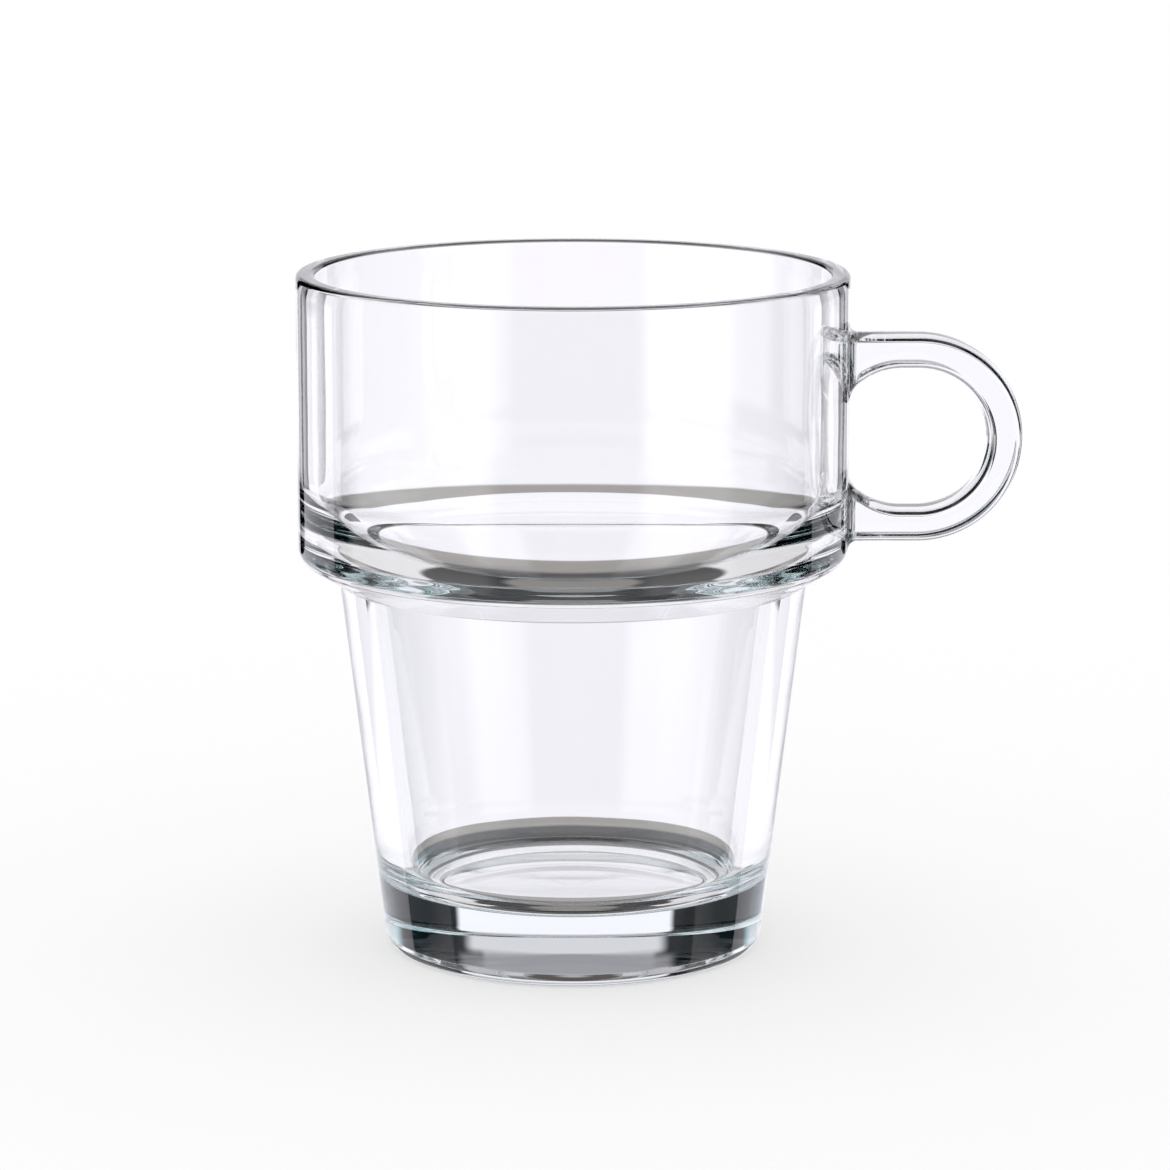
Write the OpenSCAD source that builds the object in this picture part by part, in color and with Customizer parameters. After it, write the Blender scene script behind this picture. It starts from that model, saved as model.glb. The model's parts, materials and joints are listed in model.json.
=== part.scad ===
// Stacking cortado glass with a loop handle, in millimetres.
// The axis of the cup is Z, the foot stands on z = 0 and the handle points along +X.

/* [Bowl] */
// Outside diameter of the upper bowl
bowl_d = 66; // [56:0.5:84]
// Height of the bowl, from the underside of the step to the rim
bowl_h = 37; // [29:0.5:55]
// Wall thickness of the bowl
bowl_wall = 2.3; // [1.6:0.1:3.2]
// How far the bowl stands out beyond the top of the shank
step_w = 4.9; // [4:0.1:8]
// How much higher the underside of the step lies at the bowl's wall than at the shank
step_rise = 3; // [0.5:0.1:4]
// Radius of the rounded shoulder under the bowl
shoulder_r = 2.1; // [1.5:0.1:4]
// Radius in the corner between the shoulder and the shank
neck_r = 0.15; // [0.1:0.05:0.6]
// Width of the flat on top of the rounded lip
lip_flat = 0.1; // [0.05:0.05:0.5]

/* [Throat between bowl and well] */
// Height above the step's underside at which the bowl's wall would turn in, without its rounding
throat_top = 7; // [6:0.1:9]
// How much lower the throat meets the well
throat_fall = 5.7; // [4.5:0.1:7.5]
// Radius of the hollow curve from the bowl's wall into the throat
throat_r = 12.6; // [4:0.1:14]
// Radius of the swelling curve from the throat into the well
mouth_r = 1; // [0.5:0.1:4]

/* [Shank] */
// Height of the shank, from the table to the underside of the step
shank_h = 45; // [30:0.5:60]
// Outside diameter of the shank at the table, before the heel is rounded
base_d = 45.4; // [38:0.2:52]
// Wall thickness of the shank at its mouth
shank_wall = 3.35; // [2.4:0.05:4.4]
// Wall thickness of the shank at its floor
base_wall = 4; // [2.5:0.1:6]
// Thickness of the solid floor
floor_t = 8; // [5:0.1:12]
// Radius between the well's wall and its floor
well_r = 4.3; // [1:0.1:7]

/* [Foot] */
// Radius of the rounded heel
heel_r = 1.7; // [0.5:0.1:2]
// Diameter of the shallow recess under the foot
recess_d = 36.8; // [30:0.2:38]
// Depth of the recess at its edge
recess_h = 1; // [0.5:0.05:2]
// How much deeper the recess is at its middle
recess_dome = 0.3; // [0.1:0.1:1]
// Length of the recess's sloping edge
recess_run = 1.4; // [1:0.1:4]

/* [Handle] */
// Diameter of the finger hole
finger_d = 16.6; // [14:0.2:22]
// Straight run between the two round ends of the finger hole
hole_run = 1.9; // [0.2:0.1:4]
// Thickness of the strap, seen from the side
strap_t = 4.3; // [3:0.1:6]
// Width of the strap, across the handle
strap_w = 7.4; // [6:0.1:12]
// Radius of the strap's rounded edges
strap_edge_r = 1.4; // [0.5:0.1:1.7]
// Distance from the bowl's wall to the centre of the bow
handle_reach = 8.2; // [6:0.1:14]
// Height of the handle's underside above the underside of the step
leg_rise = 4.5; // [2.5:0.1:8]

/* [Hidden] */

// Pale clear glass
glass = [0.90, 0.95, 0.96, 0.45];

// Fineness of the round faces, and of each rounded corner in an outline
$fn = 128;
corner_steps = 8;

// Radii and heights that follow from the sizes above
bowl_r = bowl_d / 2;
bowl_in_r = bowl_r - bowl_wall;
shank_r = bowl_r - step_w;
base_r = base_d / 2;
recess_r = recess_d / 2;
step_z = shank_h;
rim_z = shank_h + bowl_h;
throat_z = step_z + throat_top;
mouth_z = throat_z - throat_fall;
mouth_in_r = shank_r_at(mouth_z) - shank_wall;
floor_in_r = shank_r_at(floor_t) - base_wall;

// The shoulder leaves room for the neck's own rounding on the step, and the lip is round
// on both sides of its narrow flat
shoulder = min(shoulder_r, step_w - 2 * neck_r);
lip_r = (bowl_wall - lip_flat) / 2;

// Roundings of the foot: each of the two on its flat ring takes at most half of the ring
foot_ring = base_r - recess_r;
heel = min(heel_r, foot_ring / 2);
recess_soft_r = recess_run / 8;
recess_edge_r = min(recess_run / 2, foot_ring / 2);

// The handle: its bow is round about (bow_x, hole_z), and its legs run into the bowl's
// wall by its full thickness before they are trimmed to the wall's outside
hole_r = finger_d / 2;
bow_r = hole_r + strap_t;
bow_x = bowl_r + handle_reach;
hole_z = step_z + leg_rise + bow_r;
leg_x = bowl_r - bowl_wall;

// How far a cutter runs past the face that it cuts
past = 1;

// Outside radius of the shank's straight taper at a height
function shank_r_at(z) = base_r + (shank_r - base_r) * z / step_z;

// Direction from one point to another
function toward(a, b) = (b - a) / norm(b - a);

// Point of an outline without its rounding
function spot(corner) = [corner[0], corner[1]];

// Points of one rounded corner [x, y, radius], between the corners before and after it
function round_corner(before, corner, after) =
    let (
        p = spot(corner),
        u = toward(p, spot(before)),
        v = toward(p, spot(after)),
        half = acos(u * v) / 2,
        centre = p + toward([0, 0], u + v) * corner[2] / sin(half),
        start = p + u * corner[2] / tan(half) - centre,
        finish = p + v * corner[2] / tan(half) - centre,
        turn = atan2(start.x * finish.y - start.y * finish.x, start * finish),
        from = atan2(start.y, start.x)
    )
    [
        for (i = [0 : corner_steps])
            centre + corner[2] * [
                cos(from + turn * i / corner_steps),
                sin(from + turn * i / corner_steps)
            ]
    ];

// An outline with its corners rounded; a corner of radius 0 stays sharp
function rounded(corners) =
    let (n = len(corners))
    [
        for (i = [0 : n - 1])
            each corners[i][2] == 0
                ? [spot(corners[i])]
                : round_corner(corners[(i + n - 1) % n], corners[i], corners[(i + 1) % n])
    ];

// Outside of the cup, from the table up to the rim, as corners [radius, height, rounding]
heel_to_shoulder = [
    [base_r, 0, heel],
    [shank_r, step_z, neck_r],
    [bowl_r, step_z + step_rise, shoulder]
];

// The cup as if it were solid right through, for trimming the handle's legs to its wall
module cup_outside() {
    rotate_extrude()
        polygon(rounded(concat(
            [[0, 0, 0]],
            heel_to_shoulder,
            [[bowl_r, rim_z, lip_r], [0, rim_z, 0]]
        )));
}

// Bowl, step, shank and foot: one pressed piece of glass
module cup_body() {
    color(glass)
        rotate_extrude()
            polygon(rounded(concat(
                [
                    [0, recess_h + recess_dome, 0],
                    [recess_r - recess_run, recess_h, recess_soft_r],
                    [recess_r, 0, recess_edge_r]
                ],
                heel_to_shoulder,
                [
                    [bowl_r, rim_z, lip_r],
                    [bowl_in_r, rim_z, lip_r],
                    [bowl_in_r, throat_z, throat_r],
                    [mouth_in_r, mouth_z, mouth_r],
                    [floor_in_r, floor_t, well_r],
                    [0, floor_t, 0]
                ]
            )));
}

// Half of a section, mirrored so that it lies on both sides of the middle of the handle
module both_sides() {
    children();
    mirror([1, 0]) children();
}

// Sweeps a half section round the Y axis through (x, hole_z)
module swept_round(x) {
    translate([x, 0, hole_z])
        rotate([90, 0, 0])
            rotate_extrude()
                children();
}

// Draws a half section, on both sides of the middle, along X from one place to another
module swept_along(from_x, to_x) {
    translate([from_x, 0, hole_z])
        rotate([90, 0, 0])
            rotate([0, 90, 0])
                linear_extrude(to_x - from_x)
                    rotate(90)
                        both_sides()
                            children();
}

// Half section of the bow as if it had no finger hole
module bow_half() {
    polygon(rounded([
        [0, -strap_w / 2, 0],
        [bow_r, -strap_w / 2, strap_edge_r],
        [bow_r, strap_w / 2, strap_edge_r],
        [0, strap_w / 2, 0]
    ]));
}

// Half section of the finger hole, which opens out over the strap's rounded edges
module hole_half() {
    open_r = hole_r + strap_edge_r + past;
    open_w = strap_w / 2 + past;
    polygon(rounded([
        [0, -open_w, 0],
        [open_r, -open_w, 0],
        [open_r, -strap_w / 2, 0],
        [hole_r, -strap_w / 2, strap_edge_r],
        [hole_r, strap_w / 2, strap_edge_r],
        [open_r, strap_w / 2, 0],
        [open_r, open_w, 0],
        [0, open_w, 0]
    ]));
}

// The finger hole, round at both ends with a short straight run between them
module finger_hole() {
    swept_round(bow_x) hole_half();
    swept_round(bow_x - hole_run) hole_half();
    swept_along(bow_x - hole_run, bow_x) hole_half();
}

// Bow and legs before the hole is cut, with the legs trimmed to the outside of the bowl
module trimmed_bow() {
    difference() {
        union() {
            swept_round(bow_x) bow_half();
            swept_along(leg_x, bow_x) bow_half();
        }
        cup_outside();
    }
}

// Loop handle, whose two legs are fused to the outside of the bowl
module handle() {
    color(glass)
        difference() {
            trimmed_bow();
            finger_hole();
        }
}

cup_body();
handle();
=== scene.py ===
# %% [markdown]
# # A stacking cortado glass
# The cup is pressed from clear soda-lime glass: a straight bowl, a sloping step, a tapered shank on a heavy
# foot, and a loop handle that is fused to the bowl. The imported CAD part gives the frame: every size and place
# below is in metres in that frame, and the two glass pieces made here stand in for its two plain solids.

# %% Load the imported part
import json
import math

import bmesh
import bpy
import numpy as np
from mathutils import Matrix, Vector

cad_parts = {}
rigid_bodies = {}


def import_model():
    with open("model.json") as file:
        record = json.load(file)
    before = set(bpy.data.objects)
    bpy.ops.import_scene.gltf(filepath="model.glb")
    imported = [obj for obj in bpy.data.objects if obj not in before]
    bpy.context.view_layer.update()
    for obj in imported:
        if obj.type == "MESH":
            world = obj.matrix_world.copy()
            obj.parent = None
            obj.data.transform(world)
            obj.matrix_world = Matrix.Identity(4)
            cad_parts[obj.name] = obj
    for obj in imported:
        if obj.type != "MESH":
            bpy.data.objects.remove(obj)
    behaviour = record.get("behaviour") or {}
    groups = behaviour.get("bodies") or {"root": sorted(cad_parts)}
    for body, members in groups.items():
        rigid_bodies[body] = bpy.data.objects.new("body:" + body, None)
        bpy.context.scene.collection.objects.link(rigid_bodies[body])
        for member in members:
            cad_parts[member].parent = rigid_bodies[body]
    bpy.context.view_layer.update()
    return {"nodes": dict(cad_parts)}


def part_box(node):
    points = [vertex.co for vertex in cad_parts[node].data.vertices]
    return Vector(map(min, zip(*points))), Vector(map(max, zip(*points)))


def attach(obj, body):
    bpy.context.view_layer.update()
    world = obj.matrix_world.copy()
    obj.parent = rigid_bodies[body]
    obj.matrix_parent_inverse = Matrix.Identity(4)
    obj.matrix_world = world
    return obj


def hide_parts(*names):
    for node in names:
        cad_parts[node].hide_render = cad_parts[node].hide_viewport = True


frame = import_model()
MM = 0.001

print("nodes:", sorted(frame["nodes"]))

# %% [markdown]
# ## The camera
# The photograph looks a little down on the cup with a long lens. A constraint could aim the camera, but it only
# tilts, so its place and turn are worked out here and stay easy to read. Distance, tilt and lens were fitted to
# the cup's edges, so that rim, step and foot fall on the same places of a square picture.

# %% Camera
view_distance = 563.7 * MM
view_tilt = math.radians(11.13)
view_target = (1.43 * MM, 0.0, 43.94 * MM)
lens_mm = 143.9
sensor_mm = 36.0
nearest_seen = 10 * MM

camera_data = bpy.data.cameras.new("camera")
camera_data.lens = lens_mm
camera_data.sensor_width = sensor_mm
camera_data.clip_start = nearest_seen
camera = bpy.data.objects.new("camera", camera_data)
camera.location = (
    view_target[0],
    view_target[1] - view_distance * math.cos(view_tilt),
    view_target[2] + view_distance * math.sin(view_tilt),
)
camera.rotation_euler = (math.pi / 2 - view_tilt, 0.0, 0.0)
bpy.context.scene.collection.objects.link(camera)
bpy.context.scene.camera = camera

print("camera stands at", [round(c, 4) for c in camera.location])

# %% [markdown]
# ## Two small helpers
# Colours are written as sRGB hex values, as a colour picker shows them, and Blender's sockets want linear light.
# The second helper adds one node to any tree, with its settings, its values and its links, so that each tree
# below reads as a list of nodes.

# %% Helpers
def linear(hex_colour):
    """An sRGB colour such as #c0ffee as linear red, green, blue and alpha."""
    parts = [int(hex_colour[i : i + 2], 16) / 255 for i in (1, 3, 5)]
    return tuple(p / 12.92 if p <= 0.04045 else ((p + 0.055) / 1.055) ** 2.4 for p in parts) + (1.0,)


def add(tree, kind, inputs=None, **settings):
    """A new node in a tree. Each input is a value, or another node's output to link."""
    node = tree.nodes.new(kind)
    for name, value in settings.items():
        setattr(node, name, value)
    for socket, value in (inputs or {}).items():
        if isinstance(value, bpy.types.NodeSocket):
            tree.links.new(value, node.inputs[socket])
        else:
            node.inputs[socket].default_value = value
    return node


print("#808080 in linear light:", [round(part, 3) for part in linear("#808080")])

# %% [markdown]
# ## Glass
# Pressed soda-lime glass is clear, and a little iron gives it a teal tint that only shows where light runs a long
# way through it: along the rim, in the step and at the roots of the handle. A tinted surface would colour thin
# and thick glass alike, so the surface stays colourless and the tint sits in the volume. The mould and the
# plunger leave slow waves in the surface, and the foot is scuffed where it has slid on tables.

# %% Sizes of the glass's detail
glass_ior = 1.52
clear_colour = "#ffffff"
tint_colour = "#59ced8"
absorbed_per_metre = 1.8
wave_length = 9 * MM
wave_height = 0.012 * MM
wave_detail = 1.0
scuff_length = 0.6 * MM
scuff_top = 0.5 * MM
scuff_detail = 4.0
scuff_roughness = 0.22

print("waves", round(wave_length / MM, 1), "mm long, scuffs", round(scuff_length / MM, 1), "mm long")

# %% Pressed glass
glass_material = bpy.data.materials.new("pressed_soda_lime_glass")
glass_material.use_nodes = True
glass_tree = glass_material.node_tree
glass_tree.nodes.clear()

place = add(glass_tree, "ShaderNodeTexCoord").outputs["Object"]
waves = add(
    glass_tree,
    "ShaderNodeTexNoise",
    {"Vector": place, "Scale": 1 / wave_length, "Detail": wave_detail},
)
bump = add(glass_tree, "ShaderNodeBump", {"Height": waves.outputs["Fac"], "Distance": wave_height})

# The scuffs are strongest on the table and fade out low on the heel's curve. Real ones are finer: these are as
# coarse as they need to be to show
above_table = add(glass_tree, "ShaderNodeSeparateXYZ", {"Vector": place}).outputs["Z"]
near_table = add(
    glass_tree,
    "ShaderNodeMapRange",
    {"Value": above_table, "From Min": scuff_top, "From Max": 0.0, "To Min": 0.0, "To Max": scuff_roughness},
)
scuffs = add(
    glass_tree,
    "ShaderNodeTexNoise",
    {"Vector": place, "Scale": 1 / scuff_length, "Detail": scuff_detail},
)
roughness = add(
    glass_tree,
    "ShaderNodeMath",
    {0: near_table.outputs["Result"], 1: scuffs.outputs["Fac"]},
    operation="MULTIPLY",
)

glass = add(
    glass_tree,
    "ShaderNodeBsdfPrincipled",
    {
        "Base Color": linear(clear_colour),
        "Roughness": roughness.outputs[0],
        "IOR": glass_ior,
        "Transmission Weight": 1.0,
        "Normal": bump.outputs["Normal"],
    },
)
tint = add(
    glass_tree,
    "ShaderNodeVolumeAbsorption",
    {"Color": linear(tint_colour), "Density": absorbed_per_metre},
)
add(
    glass_tree,
    "ShaderNodeOutputMaterial",
    {"Surface": glass.outputs["BSDF"], "Volume": tint.outputs["Volume"]},
)
print("made", glass_material.name)

# %% [markdown]
# ## The cup's outline
# A pressed cup is a turned shape: one outline, spun round the axis. It could be drawn as a finished curve, but a
# short list of corners, each with the radius that the mould gives it, is easier to read and to change. The list
# starts on the axis under the foot, runs up the outside, over the lip and down the inside to the axis again.

# %% Sizes of the bowl and the step
bowl_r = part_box("cup_body")[1].x
rim_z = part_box("cup_body")[1].z
bowl_wall = 2.3 * MM
lip_round = 0.6 * MM
step_z = 45 * MM
step_w = 4.9 * MM
step_rise = 3.0 * MM
shoulder_round = 2.1 * MM
neck_round = 0.15 * MM
throat_top = 7.0 * MM
throat_fall = 5.7 * MM
throat_round = 12.6 * MM
mouth_round = 1.0 * MM

neck_r = bowl_r - step_w
throat_z = step_z + throat_top
mouth_z = throat_z - throat_fall
print("bowl", round(2 * bowl_r / MM, 1), "mm across, rim", round(rim_z / MM, 1), "mm high")

# %% Sizes of the shank and the foot
base_r = 22.7 * MM
shank_wall = 3.35 * MM
base_wall = 4.0 * MM
floor_z = 8.0 * MM
well_round = 4.3 * MM
heel_round = 1.7 * MM
recess_r = 18.4 * MM
recess_h = 1.0 * MM
recess_dome = 0.3 * MM
recess_run = 1.4 * MM
recess_soft_round = recess_run / 8
recess_edge_round = recess_run / 2


def shank_r_at(z):
    """Outside radius of the shank's straight taper at a height."""
    return base_r + (neck_r - base_r) * z / step_z


print("shank", round(2 * base_r / MM, 1), "to", round(2 * neck_r / MM, 1), "mm across")

# %% Corners of the outline
# Each corner: its distance from the axis, its height and its rounding
outline = [
    (0.0, recess_h + recess_dome, 0.0),
    (recess_r - recess_run, recess_h, recess_soft_round),
    (recess_r, 0.0, recess_edge_round),
    (base_r, 0.0, heel_round),
    (neck_r, step_z, neck_round),
    (bowl_r, step_z + step_rise, shoulder_round),
    (bowl_r, rim_z, lip_round),
    (bowl_r - bowl_wall, rim_z, lip_round),
    (bowl_r - bowl_wall, throat_z, throat_round),
    (shank_r_at(mouth_z) - shank_wall, mouth_z, mouth_round),
    (shank_r_at(floor_z) - base_wall, floor_z, well_round),
    (0.0, floor_z, 0.0),
]
print(len(outline), "corners in the outline")

# %% [markdown]
# ## Spinning the outline
# Blender can spin an outline with a Screw modifier, but a Geometry Nodes tree can also round the corners first,
# each with its own radius, and cut the long runs short so that light bends evenly along them. The tree turns
# corners to a curve, fillets it, and then wraps a grid round the axis: one way along the curve, the other way
# round the cup. Merging the doubles closes the seam and the two poles.

# %% Inputs of the tree
lathe = bpy.data.node_groups.new("spin_outline", "GeometryNodeTree")
for label, kind in (
    ("Outline", "NodeSocketGeometry"),
    ("Arc points", "NodeSocketInt"),
    ("Run step", "NodeSocketFloat"),
    ("Facets round", "NodeSocketInt"),
    ("Weld distance", "NodeSocketFloat"),
    ("Glass", "NodeSocketMaterial"),
):
    lathe.interface.new_socket(label, in_out="INPUT", socket_type=kind)
lathe.interface.new_socket("Cup", in_out="OUTPUT", socket_type="NodeSocketGeometry")
given = add(lathe, "NodeGroupInput").outputs
print("inputs:", [socket.name for socket in given if socket.name])

# %% From corners to a rounded line
corners = add(lathe, "GeometryNodeMeshToCurve", {"Mesh": given["Outline"]})
radius = add(lathe, "GeometryNodeInputNamedAttribute", {"Name": "rounding"}, data_type="FLOAT")
fillet = add(
    lathe,
    "GeometryNodeFilletCurve",
    {"Curve": corners.outputs["Curve"], "Radius": radius.outputs["Attribute"], "Count": given["Arc points"]},
    mode="POLY",
)
print("nodes so far:", len(lathe.nodes))

# %% Long runs cut short
here = add(lathe, "GeometryNodeInputPosition").outputs["Position"]
following = add(lathe, "GeometryNodeOffsetPointInCurve", {"Offset": 1})
there = add(
    lathe,
    "GeometryNodeFieldAtIndex",
    {"Value": here, "Index": following.outputs["Point Index"]},
    data_type="FLOAT_VECTOR",
)
run = add(lathe, "ShaderNodeVectorMath", {0: here, 1: there.outputs["Value"]}, operation="DISTANCE")
steps = add(lathe, "ShaderNodeMath", {0: run.outputs["Value"], 1: given["Run step"]}, operation="DIVIDE")
cuts = add(lathe, "FunctionNodeFloatToInt", {"Float": steps.outputs[0]}, rounding_mode="FLOOR")
line = add(
    lathe,
    "GeometryNodeSubdivideCurve",
    {"Curve": fillet.outputs["Curve"], "Cuts": cuts.outputs["Integer"]},
)
print("nodes so far:", len(lathe.nodes))

# %% A grid with a row for each point of the line
count = add(
    lathe,
    "GeometryNodeAttributeDomainSize",
    {"Geometry": line.outputs["Curve"]},
    component="CURVE",
).outputs["Point Count"]
columns = add(lathe, "ShaderNodeMath", {0: given["Facets round"], 1: 1.0}, operation="ADD")
grid = add(
    lathe,
    "GeometryNodeMeshGrid",
    {"Size X": 1.0, "Size Y": 1.0, "Vertices X": columns.outputs[0], "Vertices Y": count},
)
share = add(lathe, "ShaderNodeSeparateXYZ", {"Vector": grid.outputs["UV Map"]})
last = add(lathe, "ShaderNodeMath", {0: count, 1: 1.0}, operation="SUBTRACT")
along = add(lathe, "ShaderNodeMath", {0: share.outputs["Y"], 1: last.outputs[0]}, operation="MULTIPLY")
along_index = add(lathe, "FunctionNodeFloatToInt", {"Float": along.outputs[0]}, rounding_mode="ROUND")
print("nodes so far:", len(lathe.nodes))

# %% The grid wrapped round the axis
on_line = add(
    lathe,
    "GeometryNodeSampleIndex",
    {"Geometry": line.outputs["Curve"], "Value": here, "Index": along_index.outputs["Integer"]},
    data_type="FLOAT_VECTOR",
)
angle = add(lathe, "ShaderNodeMath", {0: share.outputs["X"], 1: math.tau}, operation="MULTIPLY")
turned = add(
    lathe,
    "ShaderNodeVectorRotate",
    {"Vector": on_line.outputs["Value"], "Angle": angle.outputs[0]},
    rotation_type="Z_AXIS",
)
wrapped = add(
    lathe,
    "GeometryNodeSetPosition",
    {"Geometry": grid.outputs["Mesh"], "Position": turned.outputs["Vector"]},
)
print("nodes so far:", len(lathe.nodes))

# %% Closed, smooth and made of glass
welded = add(
    lathe,
    "GeometryNodeMergeByDistance",
    {"Geometry": wrapped.outputs["Geometry"], "Distance": given["Weld distance"]},
)
smooth = add(lathe, "GeometryNodeSetShadeSmooth", {"Geometry": welded.outputs["Geometry"]})
real = add(lathe, "GeometryNodeRealizeInstances", {"Geometry": smooth.outputs["Geometry"]})
dressed = add(
    lathe,
    "GeometryNodeSetMaterial",
    {"Geometry": real.outputs["Geometry"], "Material": given["Glass"]},
)
add(lathe, "NodeGroupOutput", {"Cup": dressed.outputs["Geometry"]})
print("the tree has", len(lathe.nodes), "nodes")

# %% [markdown]
# ## The cup's body
# The corners go in as a thread of vertices, and each vertex carries its rounding as an attribute that the tree
# reads. The modifier could stay live, but a plain mesh is what the other tools read, so the result is made the
# cup's own mesh and the modifier is taken off.

# %% From tree to plain mesh
ML_PER_CUBIC_METRE = 1e6


def set_inputs(modifier, values):
    """Sets a modifier's inputs by their sockets' identifiers."""
    for item in modifier.node_group.interface.items_tree:
        if item.in_out == "INPUT" and item.name in values:
            modifier[item.identifier] = values[item.name]


def face_outwards(mesh):
    """Points every face of a closed mesh outwards."""
    shape = bmesh.new()
    shape.from_mesh(mesh)
    bmesh.ops.recalc_face_normals(shape, faces=shape.faces[:])
    if shape.calc_volume(signed=True) < 0:
        bmesh.ops.reverse_faces(shape, faces=shape.faces[:])
    open_edges = sum(1 for edge in shape.edges if not edge.is_manifold)
    volume = round(shape.calc_volume() * ML_PER_CUBIC_METRE, 2)
    print(mesh.name, "volume in ml", volume, "open edges", open_edges)
    shape.to_mesh(mesh)
    shape.free()


def make_plain(piece):
    """Turns what the modifiers make into the piece's own mesh, closed and facing outwards."""
    seen = piece.evaluated_get(bpy.context.evaluated_depsgraph_get())
    mesh = bpy.data.meshes.new_from_object(seen)
    piece.modifiers.clear()
    piece.data = mesh
    face_outwards(mesh)


print("identifiers:", [item.identifier for item in lathe.interface.items_tree if item.in_out == "INPUT"])

# %% Cup body
arc_points = 14
run_step = 1.6 * MM
facets_round = 256
weld_distance = 0.002 * MM

outline_mesh = bpy.data.meshes.new("cup_glass")
outline_mesh.from_pydata(
    [(r, 0.0, z) for r, z, _ in outline],
    [(i, i + 1) for i in range(len(outline) - 1)],
    [],
)
rounding = outline_mesh.attributes.new("rounding", "FLOAT", "POINT")
rounding.data.foreach_set("value", [corner[2] for corner in outline])

cup_glass = bpy.data.objects.new("cup_glass", outline_mesh)
bpy.context.scene.collection.objects.link(cup_glass)
spin = cup_glass.modifiers.new("spin", "NODES")
spin.node_group = lathe
set_inputs(
    spin,
    {
        "Arc points": arc_points,
        "Run step": run_step,
        "Facets round": facets_round,
        "Weld distance": weld_distance,
        "Glass": glass_material,
    },
)
make_plain(cup_glass)
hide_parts("cup_body")
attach(cup_glass, "root")
print("cup body:", len(cup_glass.data.polygons), "faces")

# %% [markdown]
# ## The handle
# The handle is a strap of hot glass, bent to a D and pressed on to the bowl. Its section is a rectangle with
# rounded edges, and its outer and inner faces swell a little towards the middle, which draws a dark line along
# the strap. It follows the bow at one thickness and grows taller towards the bowl, because the finger hole is
# round. Where it meets the wall, the soft glass has run out into a small fillet all round. A sweep along a curve
# can't change its section like that, so the strap is made ring by ring.

# %% Handle sizes
strap_low, strap_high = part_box("handle")
bow_r = (strap_high.z - strap_low.z) / 2
hole_z = (strap_high.z + strap_low.z) / 2
strap_half_w = (strap_high.y - strap_low.y) / 2
bow_x = strap_high.x - bow_r
leg_length = bow_x - bowl_r
hole_r = 8.3 * MM
hole_run = 1.9 * MM
edge_round = 0.35 * MM
crown = 0.7 * MM
crown_power = 2.0
root_fillet = 1.1 * MM

print("bow radius", round(bow_r / MM, 2), "mm, legs", round(leg_length / MM, 2), "mm")

# %% Section of the strap
corner_points = 10
flat_points = 6


def strap_section(half_t, half_w, corner):
    """Points round a rounded rectangle with crowned faces, as thickness and width from its middle."""
    points = []
    middles = [
        (half_t - corner, half_w - corner),
        (-(half_t - corner), half_w - corner),
        (-(half_t - corner), -(half_w - corner)),
        (half_t - corner, -(half_w - corner)),
    ]
    for quarter, (a, b) in enumerate(middles):
        turns = np.linspace(0, math.pi / 2, corner_points) + quarter * math.pi / 2
        arc = [(a + corner * math.cos(t), b + corner * math.sin(t)) for t in turns]
        a_next, b_next = middles[(quarter + 1) % len(middles)]
        t_next = (quarter + 1) * math.pi / 2
        start = np.array(arc[-1])
        finish = np.array((a_next + corner * math.cos(t_next), b_next + corner * math.sin(t_next)))
        points += arc
        points += [tuple(start + (finish - start) * k / flat_points) for k in range(1, flat_points)]
    points = np.array(points)
    swell = crown * (1 - np.abs(points[:, 1] / half_w) ** crown_power)
    points[:, 0] += np.sign(points[:, 0]) * swell
    return points


bow_section = strap_section((bow_r - hole_r) / 2 - crown, strap_half_w, edge_round)
print("section of", len(bow_section), "points")

# %% Rings of the bow and the legs
def wall_x(y):
    """How far out the bowl's wall stands at a distance from the handle's middle plane."""
    return np.sqrt(bowl_r * bowl_r - y * y)


def run_out(q):
    """How much the fillet widens the strap at a distance from the wall."""
    gap = np.clip(root_fillet - q, 0.0, root_fillet)
    return root_fillet - math.sqrt(root_fillet**2 - gap**2)


def hole_half_height(x):
    """Half the height of the finger hole at a distance out from the cup's axis."""
    past = min(x - (bow_x - hole_run), 0.0)
    return math.sqrt(hole_r**2 - past**2)


def leg_ring(q, side):
    """A ring of the upper (side 1) or lower (side -1) leg, at a distance from the wall."""
    widen = run_out(q)
    inner = hole_half_height(bowl_r + q)
    middle, half_t = (bow_r + inner) / 2, (bow_r - inner) / 2
    section = strap_section(half_t - crown + widen, strap_half_w + widen, edge_round + widen)
    y = section[:, 1]
    # The ring is bent to the wall at the root, and flat where the bow starts
    follow = 1 - min(max(q / leg_length, 0.0), 1.0)
    x = bowl_r + q - follow**2 * (bowl_r - wall_x(y))
    z = hole_z + side * (middle + section[:, 0])
    return np.stack([x, y, z], axis=1)


def bow_ring(angle):
    """A ring of the bow, at an angle up from the X axis."""
    reach = (bow_r + hole_r) / 2 + bow_section[:, 0]
    x = bow_x + reach * math.cos(angle)
    z = hole_z + reach * math.sin(angle)
    return np.stack([x, bow_section[:, 1], z], axis=1)


print("hole", round(2 * hole_half_height(bowl_r) / MM, 2), "mm high at the wall")

# %% [markdown]
# ## Joining the handle to the bowl
# The two pieces are one lump of glass in the real cup. If a gap of air stayed between them, light would bend at
# it, and the joint would show as a mirror. So each end cap follows the bowl's round wall and sits a hair inside
# it: light leaves one piece and enters the other at almost the same place, and goes straight on.

# %% Rings in order, from cap to cap
sink = 0.03 * MM
leg_rings = 40
bow_rings = 120
cap_rings = 12


def cap_ring(ring, part):
    """A ring inside an end cap, which follows the wall, at a part of the cap's full size."""
    middle_z = ring.mean(axis=0)[2]
    y = ring[:, 1] * part
    z = middle_z + (ring[:, 2] - middle_z) * part
    return np.stack([wall_x(y) - sink, y, z], axis=1)


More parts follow.
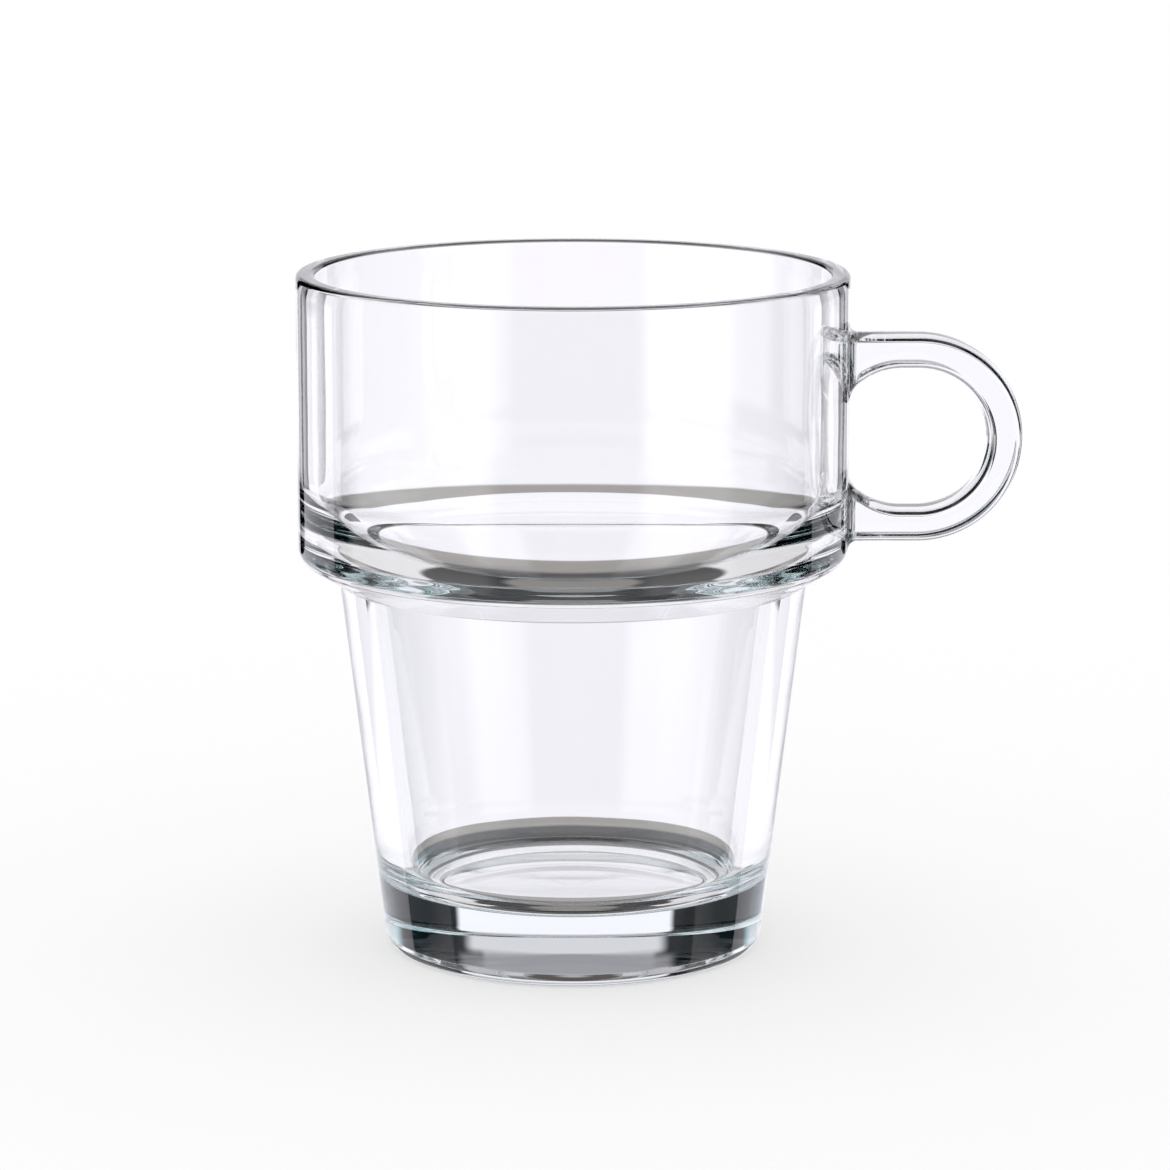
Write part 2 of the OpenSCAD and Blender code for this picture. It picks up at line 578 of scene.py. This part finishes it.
in_fillet = [root_fillet * (1 - math.cos(t)) for t in np.linspace(0, math.pi / 2, leg_rings // 2)]
beyond = list(np.linspace(root_fillet, leg_length, leg_rings // 2 + 1)[1:-1])
leg_places = [-sink] + in_fillet[1:] + beyond

rings = [leg_ring(q, 1) for q in leg_places]
rings += [bow_ring(a) for a in np.linspace(math.pi / 2, -math.pi / 2, bow_rings)]
rings += [leg_ring(q, -1) for q in reversed(leg_places)]
cap_parts = np.linspace(0, 1, cap_rings + 1)[1:-1]
upper_cap = [cap_ring(rings[0], part) for part in cap_parts]
lower_cap = [cap_ring(rings[-1], part) for part in reversed(cap_parts)]
rings = upper_cap + rings + lower_cap
print(len(rings), "rings of", len(rings[0]), "points")

# %% Handle
around = len(rings[0])
points = [tuple(p) for ring in rings for p in ring]
faces = []
for i in range(len(rings) - 1):
    for k in range(around):
        k_next = (k + 1) % around
        faces.append((i * around + k, i * around + k_next, (i + 1) * around + k_next, (i + 1) * around + k))
for i in (0, len(rings) - 1):
    points.append((bowl_r - sink, 0.0, rings[i].mean(axis=0)[2]))
    faces += [(i * around + k, i * around + (k + 1) % around, len(points) - 1) for k in range(around)]

handle_mesh = bpy.data.meshes.new("handle_glass")
handle_mesh.from_pydata(points, [], faces)
face_outwards(handle_mesh)
handle_mesh.shade_smooth()
handle_mesh.materials.append(glass_material)
handle_glass = bpy.data.objects.new("handle_glass", handle_mesh)
bpy.context.scene.collection.objects.link(handle_glass)
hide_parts("handle")
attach(handle_glass, "root")
print("handle:", len(handle_mesh.polygons), "faces")

# %% [markdown]
# ## Light
# Clear glass shows little of itself: it shows what stands behind it. A product studio sets a bright panel behind
# the glass and leaves the room dark beside it, so that the edges of the glass draw dark lines and its thick parts
# hold small pictures of the panel. Two soft boxes in front give the wall its two pale bands. The side walls are
# teal, dark below and paler above, which tints the ends of the step as thick glass does. The front below the
# horizon stays dark and draws the lines along the handle. Lamps and real cards would do this too, but they would
# also light the floor. Panels in the world are seen by glass and gloss alone, so the floor keeps plain even light.

# %% Studio panels
# Each panel: where its middle stands, in degrees from +Y towards +X, half its width, its lowest and highest
# edge, how soft its edges are, and its colour. Later panels stand in front of earlier ones. A panel that goes all
# the way round has a half width past any angle.
room_colour = "#0b0c0d"
wall_colour = "#8fb2bb"
white = "#ffffff"
side_light_colour = "#eef2f4"
panel_colour = "#f9f7fe"
all_round = 400
panels = [
    ("left wall", -110, 52, 12, 90, 3, wall_colour),
    ("right wall", 110, 52, 12, 90, 3, wall_colour),
    ("left wall below", -110, 52, -56, 12, 3, "#123540"),
    ("right wall below", 110, 52, -56, 12, 3, "#12262d"),
    ("front wall", 180, 30, 3, 90, 3, "#bdbdc4"),
    ("left soft box", -125, 21, -25, 34, 5, white),
    ("right soft box", 130, 20, -25, 34, 5, white),
    ("left panel", -90, 15, -14, 26, 3, "#f6f4f9"),
    ("left side light", -72, 10, 15, 40, 3, side_light_colour),
    ("right side light", 72, 10, 15, 40, 3, side_light_colour),
    ("wall above the panel", 2, 25, 18, 36, 2, "#b4b0b4"),
    ("top edge of the panel", 1, 19, 15, 20, 1, "#9c999f"),
    ("top of the panel", 2, 22, 10, 16, 2, "#d8d4da"),
    ("back panel", 2.25, 23.75, -25, 10, 1, panel_colour),
    ("ceiling in front", 180, 90, 42, 56, 3, "#dddce2"),
    ("ceiling behind", 0, 90, 36, 72, 3, "#b4b3b8"),
    ("dark ceiling", 0, 28, 40, 72, 3, "#5a5552"),
    ("light over the front", 180, 90, 56, 120, 3, white),
    ("top light", 0, all_round, 72, 120, 3, white),
    ("table beside", 0, 100, -53, -25, 1.5, "#dedcdf"),
    ("shade behind", 0, 30, -53, -25, 2, "#5d5c5e"),
    # Painted shadow: the table behind is grey because the cup's shadow on the table is painted into it
    ("table behind", 0, 30, -34, -24, 2, "#a4a09e"),
    ("table to the sides", 0, 62, -25, -18, 0.5, panel_colour),
    ("table behind the foot", 0, 41, -18.5, -12, 0.5, panel_colour),
    ("far table", 0, 62, -12.5, -7.4, 0.5, panel_colour),
    ("shade under the cup", 0, all_round, -74, -53, 2, "#3c3b3c"),
    # Painted shade: the table below is grey because it stands for the table in the cup's own shade
    ("shaded table below", 0, all_round, -120, -74, 2, "#868482"),
]
print("studio with", len(panels), "panels")

# %% Where a ray goes, in degrees round and up
world = bpy.data.worlds.new("studio")
world.use_nodes = True
studio = world.node_tree
studio.nodes.clear()
bpy.context.scene.world = world

toward = add(studio, "ShaderNodeTexCoord").outputs["Generated"]
axes = add(studio, "ShaderNodeSeparateXYZ", {"Vector": toward}).outputs
turn = add(studio, "ShaderNodeMath", {0: axes["X"], 1: axes["Y"]}, operation="ARCTAN2")
azimuth = add(studio, "ShaderNodeMath", {0: turn.outputs[0]}, operation="DEGREES").outputs[0]
rise = add(studio, "ShaderNodeMath", {0: axes["Z"]}, operation="ARCSINE")
elevation = add(studio, "ShaderNodeMath", {0: rise.outputs[0]}, operation="DEGREES").outputs[0]
print("world:", world.name)

# %% Panels, one in front of another
HALF_TURN = 180.0

colour = linear(room_colour)
for name, middle, half_width, low, high, soft, shade in panels:
    off = add(studio, "ShaderNodeMath", {0: azimuth, 1: middle}, operation="SUBTRACT")
    near = add(studio, "ShaderNodeMath", {0: off.outputs[0], 1: HALF_TURN, 2: -HALF_TURN}, operation="WRAP")
    beside = add(studio, "ShaderNodeMath", {0: near.outputs[0]}, operation="ABSOLUTE").outputs[0]
    inside = 1.0
    for value, outer, inner in (
        (beside, half_width + soft, half_width - soft),
        (elevation, low - soft, low + soft),
        (elevation, high + soft, high - soft),
    ):
        soft_edge = add(
            studio,
            "ShaderNodeMapRange",
            {"Value": value, "From Min": outer, "From Max": inner},
            interpolation_type="SMOOTHSTEP",
        )
        both = add(studio, "ShaderNodeMath", {0: inside, 1: soft_edge.outputs["Result"]}, operation="MULTIPLY")
        inside = both.outputs[0]
    mixed = add(
        studio,
        "ShaderNodeMix",
        {0: inside, 6: colour, 7: linear(shade)},
        data_type="RGBA",
        label=name,
    )
    colour = mixed.outputs[2]
print("nodes in the world:", len(studio.nodes))

# %% Panels for glass and gloss, plain white for the rest
panel_light = 1.11
plain_light = 1.0

panel_glow = add(studio, "ShaderNodeBackground", {"Color": colour, "Strength": panel_light})
plain_glow = add(studio, "ShaderNodeBackground", {"Color": linear(white), "Strength": plain_light})
ray = add(studio, "ShaderNodeLightPath").outputs
by_glass = add(
    studio,
    "ShaderNodeMath",
    {0: ray["Is Glossy Ray"], 1: ray["Is Transmission Ray"]},
    operation="MAXIMUM",
)
seen_light = add(
    studio,
    "ShaderNodeMixShader",
    {0: by_glass.outputs[0], 1: plain_glow.outputs[0], 2: panel_glow.outputs[0]},
)
add(studio, "ShaderNodeOutputWorld", {"Surface": seen_light.outputs[0]})
print("panels at strength", panel_light, "and plain light at", plain_light)

# %% [markdown]
# ## Floor
# A sheet of pale paper under the cup. The camera sees it almost white, with the cup's faint shadow on it. Half of
# its light is its own glow, so that it stays white, and half is the light that falls on it, which keeps the shadow.
# The glass doesn't see this disc: it would be one even white sheet from below. The world's own table panels stand
# for it there, with the cup's shadow painted into them: darker under the cup and paler towards the bright panel.

# %% White paper
shadow_share = 0.5
paper_glow = 1.0

paper_material = bpy.data.materials.new("white_paper")
paper_material.use_nodes = True
paper_tree = paper_material.node_tree
paper_tree.nodes.clear()
paper = add(paper_tree, "ShaderNodeBsdfDiffuse", {"Color": linear(white)})
bright = add(paper_tree, "ShaderNodeEmission", {"Color": linear(white), "Strength": paper_glow})
sheet = add(
    paper_tree,
    "ShaderNodeMixShader",
    {0: shadow_share, 1: bright.outputs[0], 2: paper.outputs[0]},
)
add(paper_tree, "ShaderNodeOutputMaterial", {"Surface": sheet.outputs[0]})
print("made", paper_material.name)

# %% Floor
floor_r = 260 * MM
floor_sides = 128

floor_mesh = bpy.data.meshes.new("studio_floor")
disc = bmesh.new()
bmesh.ops.create_circle(disc, cap_ends=True, segments=floor_sides, radius=floor_r)
disc.to_mesh(floor_mesh)
disc.free()
floor_mesh.materials.append(paper_material)
studio_floor = bpy.data.objects.new("studio_floor", floor_mesh)
bpy.context.scene.collection.objects.link(studio_floor)
studio_floor.visible_glossy = False
studio_floor.visible_transmission = False
print("floor", round(2 * floor_r / MM), "mm across")

# %% [markdown]
# ## Flags
# A photographer stands a narrow black card, called a flag, on each side of the bright panel. The thin wall of the
# bowl bends its light towards them only at the very edge, so each side of the bowl gets a fine dark line. A dark
# panel in the world would be seen from the bowl and the shank alike. A card close by is seen from the bowl's
# height only, so these two are real meshes, which neither the camera nor the floor sees.

# %% Flags beside the panel
flag_y = 198 * MM
flag_near = 97 * MM
flag_far = 143 * MM
flag_low = 5 * MM
flag_high = 62 * MM
card_colour = "#080808"

black_card = bpy.data.materials.new("black_card")
black_card.use_nodes = True
card_tree = black_card.node_tree
card_tree.nodes.clear()
card_face = add(card_tree, "ShaderNodeBsdfDiffuse", {"Color": linear(card_colour)})
add(card_tree, "ShaderNodeOutputMaterial", {"Surface": card_face.outputs[0]})

for name, side in (("left_flag", -1), ("right_flag", 1)):
    flag_mesh = bpy.data.meshes.new(name)
    flag_mesh.from_pydata(
        [(side * x, flag_y, z) for z in (flag_low, flag_high) for x in (flag_near, flag_far)],
        [],
        [(0, 1, 3, 2)],
    )
    flag_mesh.materials.append(black_card)
    flag = bpy.data.objects.new(name, flag_mesh)
    bpy.context.scene.collection.objects.link(flag)
    flag.visible_camera = False
    flag.visible_diffuse = False
    flag.visible_shadow = False
print("two flags", round(flag_y / MM), "mm behind the axis")

# %% [markdown]
# ## Picture settings
# Light that runs through the base and the step is thrown back many times inside the glass before it comes out. A
# ray that is cut off early turns black, so glass rays get more bounces than usual. Colours are shown as written.

# %% Bounces and view
glass_bounces = 32
gloss_bounces = 16

scene = bpy.context.scene
scene.view_settings.view_transform = "Standard"
scene.cycles.max_bounces = glass_bounces
scene.cycles.transmission_bounces = glass_bounces
scene.cycles.glossy_bounces = gloss_bounces
print("view:", scene.view_settings.view_transform)
